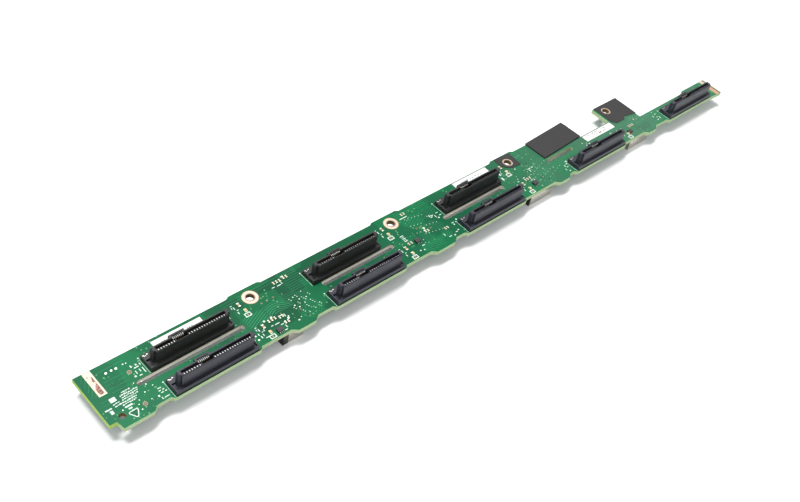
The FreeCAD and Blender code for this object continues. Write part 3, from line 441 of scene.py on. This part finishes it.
for x, y, length, width in [
    (-3.1, 23.1, 0.7, 0.7), (-3.6, 21.9, 2.2, 0.5), (-5.4, 23.4, 0.5, 1.2), (-1.5, 22.6, 0.5, 1.0),
    (-1.7, 19.1, 0.4, 3.0), (-4.2, 17.4, 1.4, 0.4), (-3.2, 19.8, 0.4, 1.6), (-5.0, 19.6, 0.4, 1.8),
    (-6.4, 18.0, 0.9, 0.8), (-2.0, 7.6, 1.7, 0.4), (-2.6, 6.3, 0.9, 0.4), (-0.9, 6.3, 0.9, 0.4),
    (-0.3, 5.1, 0.9, 0.4), (-2.0, 5.1, 1.3, 0.4), (-4.2, 4.3, 0.8, 0.8), (-3.6, 2.6, 0.4, 1.2),
    (-1.5, 2.4, 2.2, 0.4), (-16.5, 7.2, 3.4, 0.75), (-16.6, 5.8, 1.6, 0.7), (51.9, 7.6, 0.5, 1.0),
    (48.8, 5.0, 0.5, 1.3), (50.8, 3.6, 1.3, 0.4), (48.4, 6.9, 0.4, 1.2), (60.8, 5.8, 1.6, 0.4),
    (61.6, 4.0, 0.4, 1.8), (60.3, 2.4, 1.5, 0.4), (62.9, 6.2, 0.4, 1.4), (63.9, 6.0, 0.5, 0.9),
    (64.8, 9.4, 0.5, 1.6), (62.8, 10.2, 1.0, 0.4), (59.0, 7.3, 2.4, 0.4), (56.4, 7.5, 1.2, 0.4),
    (65.9, 8.0, 0.5, 0.8), (73.8, 24.9, 2.2, 0.4), (75.6, 25.6, 0.4, 1.6), (70.6, 25.2, 1.6, 0.35),
    (78.0, 28.6, 1.6, 0.4), (153.3, 26.0, 4.9, 0.45), (165.6, 19.6, 0.5, 1.3), (167.2, 19.2, 1.6, 0.4),
    (168.4, 17.8, 0.4, 1.5), (170.7, 19.4, 1.4, 0.4), (171.4, 17.4, 1.6, 0.4), (169.3, 16.2, 0.9, 0.7),
    (166.2, 18.4, 1.3, 0.4), (172.7, 9.6, 1.5, 0.4), (172.6, 8.3, 0.5, 0.9), (176.0, 10.4, 0.8, 0.8),
    (171.7, 4.4, 0.7, 0.7), (170.0, 3.8, 1.4, 0.4), (167.7, 2.6, 0.8, 0.7), (165.0, 3.2, 1.8, 0.4),
    (163.0, 5.6, 0.4, 1.6), (143.6, 16.8, 2.2, 0.4), (143.6, 15.9, 1.7, 0.3), (143.7, 14.9, 2.0, 0.4),
    (143.5, 14.0, 1.6, 0.3), (143.6, 13.1, 2.1, 0.4), (149.0, 6.3, 1.8, 0.4), (145.2, 4.3, 0.7, 0.7),
    (147.3, 3.7, 0.7, 0.7), (221.0, 22.2, 0.8, 2.6), (220.0, 18.4, 0.9, 2.2), (220.6, 25.4, 0.7, 1.0),
    (230.7, 12.7, 1.4, 0.4), (230.4, 11.0, 0.4, 1.6), (233.4, 9.2, 1.4, 0.4), (234.9, 8.4, 0.4, 1.3),
    (225.8, 12.2, 1.0, 0.4), (239.0, 16.4, 2.4, 0.35), (238.4, 14.9, 0.4, 1.5),
    (241.4, 16.3, 1.3, 0.4), (262.4, 8.9, 0.4, 1.4), (258.6, 6.8, 0.5, 1.3), (259.6, 5.6, 1.3, 0.4),
    (257.0, 4.4, 0.4, 1.2), (258.4, 2.6, 0.8, 0.7), (260.6, 7.6, 1.2, 0.4), (286.6, 12.0, 1.2, 0.5),
    (284.0, 11.8, 0.6, 0.6), (305.0, 11.2, 1.6, 0.4), (311.0, 9.8, 1.4, 0.5), (341.6, 7.2, 0.5, 1.4),
    (344.6, 8.2, 1.3, 0.4), (342.4, 3.9, 1.2, 0.5), (345.0, 4.6, 0.5, 1.6), (343.6, 5.8, 1.0, 0.4),
]:
    add_bar(spot(x, y), length, width)
for y, start, length in [
    (14.5, -15.6, 3.4), (13.2, -17.0, 7.4), (12.1, -16.8, 7.2), (11.0, -21.4, 2.8), (11.0, -17.2, 7.6),
    (9.8, -21.2, 3.4), (9.8, -17.0, 5.8), (8.7, -18.4, 6.2),
]:
    done = 0.0
    while done < length:
        step = 0.35 + (done * 5.3 + y * 2.9) % 0.75
        thick = 0.3 + (done * 7.7 + y) % 0.4
        add_bar(spot(start + done + step / 2, y + (done * 3.1) % 0.3 - 0.15), step, thick)
        done += step + DASH_GAP
add_bar(spot(-20.2, 13.2), 2.7, 2.2)
add_bar(spot(-24.1, 9.9), 3.0, 0.6)
add_bar(spot(-23.6, 8.0), 1.3, 1.8)
bpy.ops.mesh.primitive_circle_add(vertices=3, radius=3.2 * MM, fill_type="NGON", location=spot(-16.4, 2.9),
                                  rotation=(0, 0, radians(181)))
bpy.ops.mesh.bevel(offset=1.5 * MM, segments=4, affect="VERTICES")
bpy.ops.mesh.inset(thickness=0.42 * MM)
bpy.ops.mesh.delete(type="FACE")
close_flat(printed, INK_THICK, ink)

solder, base, shader = new_finish("tinned_pads", Metallic=0.7)
wear = base.noise(base.point(), 2600.0)
feed(shader, Base_Color=wear.blend(colour(170, 192, 172), colour(222, 228, 214)),
     Roughness=wear.ramp(0.3, 0.7, 0.3, 0.5))
pads = begin("board_pads")
for x, y, wide in [
    (-15.3, 26.2, 1.1), (-12.8, 26.2, 1.0), (-10.7, 26.0, 1.1), (46.7, 6.9, 0.9), (46.8, 4.4, 0.9),
    (54.9, 11.6, 1.0), (58.9, 11.6, 1.1), (65.2, 7.2, 1.1), (72.1, 11.3, 0.7), (73.5, 9.4, 0.7),
    (68.5, 3.5, 0.8), (77.2, 10.2, 0.6), (79.8, 12.6, 0.6), (76.2, 13.2, 0.6), (74.4, 15.6, 0.6),
    (-7.7, 9.2, 0.5), (-7.3, 4.8, 0.4), (-11.7, 7.1, 0.4), (-12.9, 5.4, 0.4), (-13.1, 2.6, 0.5),
    (-5.2, 12.4, 0.5), (-3.3, 10.4, 0.4), (-7.3, 26.3, 0.6), (-6.0, 26.1, 0.5), (-19.6, 6.6, 0.5),
    (-6.0, 14.6, 0.4), (-9.0, 15.6, 0.4), (157.3, 14.9, 1.3), (156.6, 13.4, 1.3), (227.0, 13.8, 0.6),
    (236.2, 12.4, 0.6), (231.8, 20.4, 0.9), (282.8, 14.4, 0.8), (285.2, 13.2, 0.6), (328.3, 12.2, 0.9),
    (330.4, 11.6, 0.6), (344.0, 10.4, 0.7), (246.0, 12.2, 0.6), (252.0, 9.8, 0.6),
]:
    add_disc(spot(x, y), wide, 12)
pad_fields = [
    ((70.5, 4.5), (10.6, 3.5), (13.0, 12.5)),
    ((151.0, 7.0), (4.5, 4.4), (16.0, 18.0)),
    ((235.0, 3.0), (4.8, 7.3), (22.0, 15.0)),
]
for index in range(26):
    for corner, step, reach in pad_fields:
        along, back = [corner[axis] + (index * step[axis]) % reach[axis] for axis in range(2)]
        add_disc(spot(along, back), 0.45, 8)
close_flat(pads, METAL_THICK, solder)

bare, base, shader = new_finish("bare_fiducials", Roughness=0.45)
wear = base.noise(base.point(), 2600.0)
feed(shader, Base_Color=wear.blend(colour(126, 92, 74), colour(176, 128, 112)))
fiducials = begin("board_fiducials")
for x, y in [
    (-7.3, 21.3), (-10.7, 4.3), (155.9, 16.4), (160.6, 13.2), (153.9, 16.7), (73.0, 8.2), (238.0, 12.0),
    (60.5, 20.6), (63.5, 20.7), (67.0, 20.7),
]:
    wide = 2.1 if x < 0 else 0.9
    add_ring(spot(x, y), wide, wide * 0.17, 16)
    if x < 0:
        add_disc(spot(x, y), 0.7, 10)
close_flat(fiducials, METAL_THICK, bare)

test_pads = begin("lamp_test_pads")
for number, x, y in lamp_spots:
    if number != LAST:
        add_disc(Vector((x + TEST_PAD_ALONG * MM, y + TEST_PAD_BACK * MM, TOP)), 1.0, 10)
close_flat(test_pads, METAL_THICK, bare)

# Painted shade: dark discs on the mask stand for the small holes, whose inside lies in shade.
dark, base, shader = new_finish("drilled_holes", Roughness=0.8)
wear = base.noise(base.point(), 2000.0)
feed(shader, Base_Color=wear.blend(colour(10, 26, 18), colour(26, 44, 32)))
drilled = begin("board_small_holes")
for x, y, wide in [
    (72.6, 19.7, 1.0), (74.0, 3.8, 1.0), (240.7, 20.1, 1.0), (242.5, 4.2, 1.0), (153.4, 3.3, 0.8),
    (152.2, 2.1, 0.8), (-17.7, 3.7, 0.9), (-15.5, 3.7, 0.9), (-16.3, 1.6, 1.0), (-16.5, 3.1, 0.7),
    (158.9, 26.9, 0.8), (153.6, 28.6, 0.7), (155.2, 28.3, 0.7), (156.8, 28.0, 0.7),
]:
    add_disc(spot(x, y), wide, 12)
for column in range(6):
    for row in range(4):
        add_disc(spot(323.6 + column * 1.95, 2.9 + row * 1.2 + column * 0.05), 0.62, 8)
for x, y in [
    (-16.6, 20.0), (-16.1, 19.0), (-14.7, 20.1), (-13.6, 20.3), (-13.8, 18.6), (-12.3, 19.3), (-15.2, 18.6),
]:
    add_disc(spot(x, y), 0.6, 8)
close_flat(drilled, HOLE_MARK_THICK, dark)


# Drive sockets. Black liquid crystal polymer, moulded in one piece with a comb of contact cavities, a
# second-port block at the back of the slot and a guide post at each end. They are soldered to the board.
plastic, base, shader = new_finish("socket_plastic", Specular_IOR_Level=0.3)
point, x, y, _ = base.place()
flow = base.noise(base.stretch(point, (140.0, 700.0, 700.0)), 1.0, 4.0)
grain = base.noise(point, 5200.0, 2.0)
# Painted light: the front row's black is painted bluer, a painted reflection, and towards the right the black
# is painted a step lighter.
front_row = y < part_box("drive_socket_2")[1].y + MM
black = flow.blend(colour(24, 25, 25), colour(48, 49, 49))
black = front_row.blend(black, flow.blend(colour(26, 27, 35), colour(53, 54, 65)))
black = x.ramp(-0.03, 0.12).blend(black, flow.blend(colour(33, 36, 40), colour(60, 63, 71)))
feed(shader, Base_Color=black, Roughness=flow.ramp(0.3, 0.7, 0.38, 0.55), Normal=base.bump(grain, 0.00002))
for number in SOCKETS:
    soften(dress(f"drive_socket_{number}", plastic), 0.00012)


# Socket contacts. Leaves stamped from copper alloy, gold over nickel. Each stands in its cavity, leans into
# the mouth, bulges and tucks its rounded tip back under the rim. The top of each tip is painted near-white, a
# painted highlight where it catches the light.
def join_copies(copies, node):
    """Joins placed copies into one piece that takes the CAD node's place."""
    bpy.ops.object.select_all(action="DESELECT")
    for copy in copies:
        copy.select_set(True)
    bpy.context.view_layer.objects.active = copies[0]
    bpy.ops.object.join()
    bpy.ops.object.transform_apply(location=True, rotation=True, scale=True)
    piece = bpy.context.object
    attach(piece, "root")
    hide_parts(node)
    return piece


LEAF_THICK = 0.2
TIP_BEND = 0.3
TIP_LOW = 7.9
TIP_HIGH = 8.4


def grow(along, up):
    """Carries the chosen face on, by millimetres along X and Z."""
    bpy.ops.mesh.extrude_region_move(TRANSFORM_OT_translate={"value": (along * MM, 0, up * MM)})


def model_contact(width, reach, height, material):
    """A leaf on the origin that leans towards +X; sizes in millimetres."""
    leaf = begin("leaf")
    middle = (LEAF_THICK / 2 * MM, 0, 0)
    bpy.ops.mesh.primitive_plane_add(size=MM, location=middle)
    bpy.ops.transform.resize(value=(LEAF_THICK, width, 1), center_override=middle)
    grow(0, 0.6)
    grow(reach - LEAF_THICK, height - 1.9)
    grow(-0.1 * reach, 0.7)
    grow(-0.1 * reach, 0.3)
    knee = ((0.8 * reach - TIP_BEND) * MM, 0, (height - TIP_BEND) * MM)
    bpy.ops.mesh.spin(steps=4, angle=radians(90), center=knee, axis=(0, -1, 0))
    grow(0.4 - 0.8 * reach, 0)
    bpy.ops.mesh.select_all(action="DESELECT")
    bpy.ops.mesh.select_non_manifold()
    bpy.ops.mesh.edge_face_add()
    bpy.ops.mesh.select_all(action="SELECT")
    bpy.ops.mesh.normals_make_consistent(inside=False)
    bpy.ops.object.mode_set(mode="OBJECT")
    leaf.data.materials.append(material)
    return leaf


gold, base, shader = new_finish("contact_alloy")
point, _, _, z = base.place()
wiped = base.noise(point, 900.0)
# Painted highlight: from 7.9 to 8.4 mm above the board the leaves turn near-white and lose their metal.
tip_highlight = z.ramp(TOP + TIP_LOW * MM, TOP + TIP_HIGH * MM)
plating = wiped.blend(colour(206, 176, 110), colour(226, 200, 140))
feed(shader, Base_Color=tip_highlight.blend(plating, colour(252, 252, 248)),
     Metallic=tip_highlight.ramp(0.0, 1.0, 0.9, 0.0), Roughness=wiped.ramp(0.3, 0.7, 0.25, 0.42))
for number in SOCKETS:
    node = f"socket_contacts_{number}"
    middle = (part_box(node)[0].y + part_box(node)[1].y) / 2
    leaves = {}
    copies = []
    for low, high in boxes_of(node):
        towards = 1 if (low.y + high.y) / 2 < middle else -1
        size = (high - low) / MM
        if towards not in leaves:
            leaves[towards] = model_contact(size.x, size.y, size.z, gold)
        copy = bpy.data.objects.new(node + "_dressed", leaves[towards].data.copy())
        bpy.context.collection.objects.link(copy)
        copy.rotation_euler.z = radians(90 * towards)
        copy.location = ((low.x + high.x) / 2, low.y if towards == 1 else high.y, low.z)
        copies.append(copy)
    for leaf in leaves.values():
        bpy.data.objects.remove(leaf)
    join_copies(copies, node)


# Board locks. Tinned steel strips pushed into the ends of each socket and soldered to the board. They hold
# the socket down while drives are pushed in and pulled out.
tin, base, shader = new_finish("tinned_sheet", Metallic=1.0)
dull = base.noise(base.point(), 1500.0)
feed(shader, Base_Color=dull.blend(colour(176, 174, 168), colour(208, 206, 200)),
     Roughness=dull.ramp(0.3, 0.7, 0.35, 0.55), Normal=base.bump(dull, 0.00002))
dress("board_locks", tin)


# Plated lands and bare ground strips. Copper with a thin tin or gold finish, level with the mask round
# them; the screw heads and the chassis touch them, so they are scuffed.
copper, base, shader = new_finish("plated_copper", Metallic=0.25)
point, x, y, _ = base.place()
scuff = base.noise(point, 1300.0, 4.0)
worn = base.noise(point, 260.0)
pitted = base.noise(point, 3400.0, 1.0) > 0.6
plate = worn.blend(colour(186, 168, 146), colour(216, 204, 186))
plate = (pitted * 0.6).blend(plate, colour(136, 86, 64))
for low, high in lands:
    away = distance(x - (low.x + high.x) / 2, y - (low.y + high.y) / 2)
    middle_of_land = away.between(2.5 * MM, 3.75 * MM)
    near = away < 5 * MM
    plate = (near * (1 - middle_of_land) * 0.75).blend(plate, colour(118, 84, 62))
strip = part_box("ground_strip_left")
rubbed = x.between(strip[0].x + 0.8 * MM, strip[1].x - 0.8 * MM) * (y < strip[1].y - 2.6 * MM)
rubbed = rubbed * (y > strip[0].y + 0.7 * MM)
stain = base.noise(point, 360.0, 3.0).ramp(0.38, 0.5)
plate = (rubbed * stain).blend(plate, (scuff > 0.52).blend(colour(84, 44, 36), colour(150, 106, 90)))
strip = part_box("ground_strip_right")
edge = x.between(strip[1].x - 1.3 * MM, strip[1].x + MM)
plate = (edge * 0.8).blend(plate, colour(96, 66, 44))
near_half = y < strip[0].y + 9 * MM
rest = (1 - edge) * (x > strip[0].x - MM) * 0.7
plate = rest.blend(plate, near_half.blend(colour(190, 182, 156), colour(176, 130, 90)))
feed(shader, Base_Color=plate, Roughness=scuff.ramp(0.3, 0.7, 0.4, 0.65), Normal=base.bump(scuff, 0.00003))
for node in ("hole_lands", "ground_strip_left", "ground_strip_right"):
    dress(node, copper)


# Insulating films. Dark grey plastic sheet with glue on its back, cut to shape. The wide one hangs over the
# back edge, and the small ones lie round a screw hole and on the screw tab.
film, base, shader = new_finish("film", Specular_IOR_Level=0.22)
dust = base.noise(base.point(), 2600.0, 3.0)
feed(shader, Base_Color=dust.blend(colour(38, 38, 38), colour(59, 58, 58)),
     Roughness=dust.ramp(0.3, 0.7, 0.6, 0.8), Normal=base.bump(dust, 0.00002))
for node in ("film_wide", "film_hole", "film_tab"):
    dress(node, film)


# Labels. White paper with glue on its back, with a row of faint grey strokes along the middle, or two rows on
# the third. The back edges of the second and the third carry a band of painted grey shade.
paper, base, shader = new_finish("label_paper", Specular_IOR_Level=0.2)
point, x, y, _ = base.place()
fibre = base.noise(point, 3000.0, 4.0)
strokes = base.noise(base.stretch(point, (1300.0, 160.0, 0.0)), 1.0, 0.0) > 0.53
labels = ("label_1", "label_2", "label_3")
rows = []
for node in labels:
    low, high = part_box(node)
    middle = (low.y + high.y) / 2
    centres = (middle,) if node != "label_3" else (middle - 0.9 * MM, middle + 0.9 * MM)
    for centre in centres:
        rows.append(y.between(centre - 0.45 * MM, centre + 0.45 * MM)
                    * x.between(low.x + 4 * MM, high.x - 4 * MM))
white = fibre.blend(colour(216, 216, 212), colour(228, 228, 225))
# Painted shade: a grey band along the back edge of the second and the third label.
for node in ("label_2", "label_3"):
    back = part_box(node)[1].y
    white = y.between(back - 0.55 * MM, back + MM).blend(white, colour(134, 138, 136))
feed(shader, Base_Color=(strokes * any_of(rows) * 0.9).blend(white, colour(84, 86, 88)),
     Roughness=fibre.ramp(0.3, 0.7, 0.7, 0.85), Normal=base.bump(fibre, 0.00001))
for node in labels:
    dress(node, paper)


# Signal lamps. A moulded white case with plated ends and a clear amber lens on top. One is modelled along
# X in a cube of 1 mm, and a copy of it is fitted to the place of each.
def begin_chip(name, *materials):
    """Starts a chip that has a slot for each of its materials."""
    chip = begin(name)
    for material in materials:
        chip.data.materials.append(material)
    return chip


def add_block(centre, size, rounding, slot):
    """A block with rounded edges in the cube, given a material slot of the piece being edited."""
    bpy.ops.mesh.primitive_cube_add(size=MM, location=Vector(centre) * MM)
    bpy.ops.transform.resize(value=size, center_override=Vector(centre) * MM)
    bpy.ops.mesh.bevel(offset=rounding * MM, segments=2)
    bpy.context.object.active_material_index = slot
    bpy.ops.object.material_slot_assign()


def fit_copies(master, node):
    """Fits a copy of the finished chip into the box of each solid of a CAD node and joins the copies."""
    bpy.ops.object.mode_set(mode="OBJECT")
    copies = []
    for low, high in boxes_of(node):
        size = high - low
        copy = bpy.data.objects.new(node + "_dressed", master.data.copy())
        bpy.context.collection.objects.link(copy)
        if size.y > size.x:
            copy.rotation_euler.z = radians(90)
            size.x, size.y = size.y, size.x
        copy.scale = size / MM
        copy.location = (low + high) / 2
        copies.append(copy)
    bpy.data.objects.remove(master)
    join_copies(copies, node)


case, base, shader = new_finish("lamp_case", Roughness=0.5)
matt = base.noise(base.point(), 3000.0)
feed(shader, Base_Color=matt.blend(colour(222, 218, 200), colour(240, 238, 226)))
lens_clear, base, shader = new_finish("lamp_lens", Roughness=0.18, Coat_Weight=0.6)
depth = base.noise(base.point(), 1400.0)
feed(shader, Base_Color=depth.blend(colour(196, 158, 84), colour(232, 206, 140)))
lamp = begin_chip("lamp", case, lens_clear, solder)
add_block((0, 0, -0.22), (0.74, 0.96, 0.56), 0.05, 0)
add_block((0, 0, 0.2), (0.56, 0.86, 0.6), 0.12, 1)
for side in (-0.41, 0.41):
    add_block((side, 0, -0.3), (0.18, 1, 0.4), 0.03, 2)
fit_copies(lamp, "signal_lamps")


# Chip resistors and capacitors. Ceramic bodies between tinned end caps that are a hair larger. They are
# soldered flat to the board, one resistor behind each lamp.
ceramic, base, shader = new_finish("resistor_body", Roughness=0.5)
speck = base.noise(base.point(), 3000.0)
feed(shader, Base_Color=speck.blend(colour(120, 104, 66), colour(164, 146, 104)))
resistor = begin_chip("resistor", ceramic, solder)
add_block((0, 0, 0), (0.6, 0.94, 0.9), 0.03, 0)
for side in (-0.38, 0.38):
    add_block((side, 0, 0), (0.24, 1, 1), 0.06, 1)
fit_copies(resistor, "lamp_resistors")

sintered, base, shader = new_finish("capacitor_body", Roughness=0.45)
speck = base.noise(base.point(), 3000.0)
feed(shader, Base_Color=speck.blend(colour(168, 140, 104), colour(194, 172, 140)))
capacitor = begin_chip("capacitor", sintered, solder)
add_block((0, 0, 0), (0.56, 0.94, 0.94), 0.05, 0)
for side in (-0.37, 0.37):
    add_block((side, 0, 0), (0.26, 1, 1), 0.08, 1)
fit_copies(capacitor, "chip_capacitors")


# Control chips and the controller. Moulded black epoxy with tinned gull-wing leads. The small ones are
# soldered to the top of the board and the controller to its underside.
epoxy, base, shader = new_finish("chip_body", Specular_IOR_Level=0.4)
matt = base.noise(base.point(), 4200.0)
feed(shader, Base_Color=matt.blend(colour(36, 36, 38), colour(54, 54, 56)),
     Roughness=matt.ramp(0.3, 0.7, 0.5, 0.7), Normal=base.bump(matt, 0.00001))
for node in ("control_chips", "controller_chip"):
    soften(dress(node, epoxy), 0.00006)
for node in ("control_chip_leads", "controller_leads"):
    dress(node, tin)


# Shielded ports. Bent and plated steel shells under the front edge, with a black moulded tongue inside
# and gold contacts on both of its faces.
steel, base, shader = new_finish("port_steel", Metallic=1.0)
point, x, y, z = base.place()
brushed = base.noise(base.stretch(point, (120.0, 1800.0, 3000.0)), 1.0, 3.0)
plated = brushed.blend(colour(162, 160, 150), colour(200, 197, 188))
# Painted shade: dark patches at the left side and the upper right of each shell's front, faint on the third,
# and a dark strip at the left end of the first shell.
for number in (1, 2, 3):
    low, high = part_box(f"port_shell_{number}")
    side = x.between(low.x - MM, low.x + 0.7 * MM)
    upper = x.between(high.x - 5.5 * MM, high.x + MM) * (z > high.z - 1.1 * MM)
    painted_lip_shade = (side | upper) * (y < low.y + 2 * MM) * (0.3 if number == 3 else 0.9)
    plated = painted_lip_shade.blend(plated, colour(34, 30, 26))
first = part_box("port_shell_1")
plated = (x.between(first[0].x - MM, first[0].x + 3 * MM) * 0.9).blend(plated, colour(30, 28, 26))
feed(shader, Base_Color=plated, Roughness=brushed.ramp(0.3, 0.7, 0.22, 0.4))
moulded, base, shader = new_finish("port_plastic", Roughness=0.5)
matt = base.noise(base.point(), 4000.0)
feed(shader, Base_Color=matt.blend(colour(28, 28, 30), colour(44, 44, 46)), Normal=base.bump(matt, 0.00001))
for number in (1, 2, 3):
    dress(f"port_shell_{number}", steel)
    dress(f"port_tongue_{number}", moulded)
    dress(f"port_contacts_{number}", gold)


# Power header. A black moulded box on the underside with tinned pins pressed through it. The pins are
# soldered to the board and take the cable that feeds the drives.
soften(dress("power_header", moulded), 0.0002)
dress("power_pins", tin)


# Filter coils. A square ferrite body round a winding, with a tinned foot at each end. They are soldered to
# the underside, where they smooth the supply.
ferrite, base, shader = new_finish("coil_body", Roughness=0.6)
matt = base.noise(base.point(), 3000.0)
feed(shader, Base_Color=matt.blend(colour(56, 56, 58), colour(80, 80, 82)), Normal=base.bump(matt, 0.00002))
coil = begin_chip("coil", ferrite, solder)
add_block((0, 0, 0), (0.94, 1, 0.96), 0.09, 0)
add_block((0, 0, -0.44), (0.5, 0.5, 0.12), 0.05, 0)
for side in (-0.45, 0.45):
    add_block((side, 0, 0.25), (0.1, 0.5, 0.5), 0.02, 1)
fit_copies(coil, "filter_coils")


# Bulk capacitors. Yellow moulded bodies with a brown stripe at the positive end and tinned straps. They
# are soldered flat to the underside, where they steady the supply when a drive starts.
tantalum, base, shader = new_finish("bulk_body", Roughness=0.5)
matt = base.noise(base.point(), 3000.0)
feed(shader, Base_Color=matt.blend(colour(196, 150, 70), colour(212, 170, 92)),
     Normal=base.bump(matt, 0.00002))
stripe, base, shader = new_finish("bulk_stripe", Roughness=0.5)
matt = base.noise(base.point(), 3000.0)
feed(shader, Base_Color=matt.blend(colour(96, 58, 30), colour(122, 78, 44)))
bulk = begin_chip("bulk", tantalum, stripe, solder)
add_block((0, 0, 0), (0.94, 0.98, 0.98), 0.06, 0)
add_block((0.32, 0, -0.46), (0.16, 0.86, 0.07), 0.02, 1)
for side in (-0.46, 0.46):
    add_block((side, 0, 0.2), (0.08, 0.6, 0.6), 0.02, 2)
fit_copies(bulk, "bulk_capacitors")


# Table and light. A plain white table that pales with distance, a large soft lamp over the back left, a weak
# one over the front and an even pale room, which looks white in itself and in what mirrors it.
bpy.ops.object.select_all(action="DESELECT")
bpy.ops.mesh.primitive_plane_add(size=6, location=(0, 0, 0))
table = bpy.context.object
table.name = "table"
table_top, base, shader = new_finish("table", Roughness=0.9, Specular_IOR_Level=0.0)
shader.inputs["Base Color"].default_value = (0.9, 0.9, 0.9, 1)
shader.inputs["Emission Strength"].default_value = 1.0
_, x, y, _ = base.place()
pale = distance(x, y).ramp(0.4, 2.0).blend((0.054, 0.058, 0.06, 1), (0.62, 0.62, 0.62, 1))
feed(shader, Emission_Color=base.seen().blend((0, 0, 0, 1), pale))
table.data.materials.append(table_top)

room = bpy.data.worlds.new("room")
bpy.context.scene.world = room
room.use_nodes = True
background = room.node_tree.nodes["Background"]
air = Paint(room.node_tree)
feed(background, Color=air.seen().blend((0.42, 0.42, 0.42, 1), (1, 1, 1, 1)))


def soft_lamp(name, place, length, width, power):
    """An oblong lamp that faces the middle of the board, its length along the board."""
    light = bpy.data.lights.new(name, "AREA")
    light.energy = power
    light.shape = "RECTANGLE"
    light.size = length
    light.size_y = width
    holder = bpy.data.objects.new(name, light)
    holder.location = place
    holder.rotation_euler = (-Vector(place)).to_track_quat("-Z", "Y").to_euler()
    bpy.context.collection.objects.link(holder)


soft_lamp("key_lamp", (-0.1, 0.5, 1.6), 1.0, 0.45, 38)
soft_lamp("fill_lamp", (-0.9, -0.9, 0.9), 1.2, 1.2, 6)

bpy.context.scene.view_settings.view_transform = "Standard"
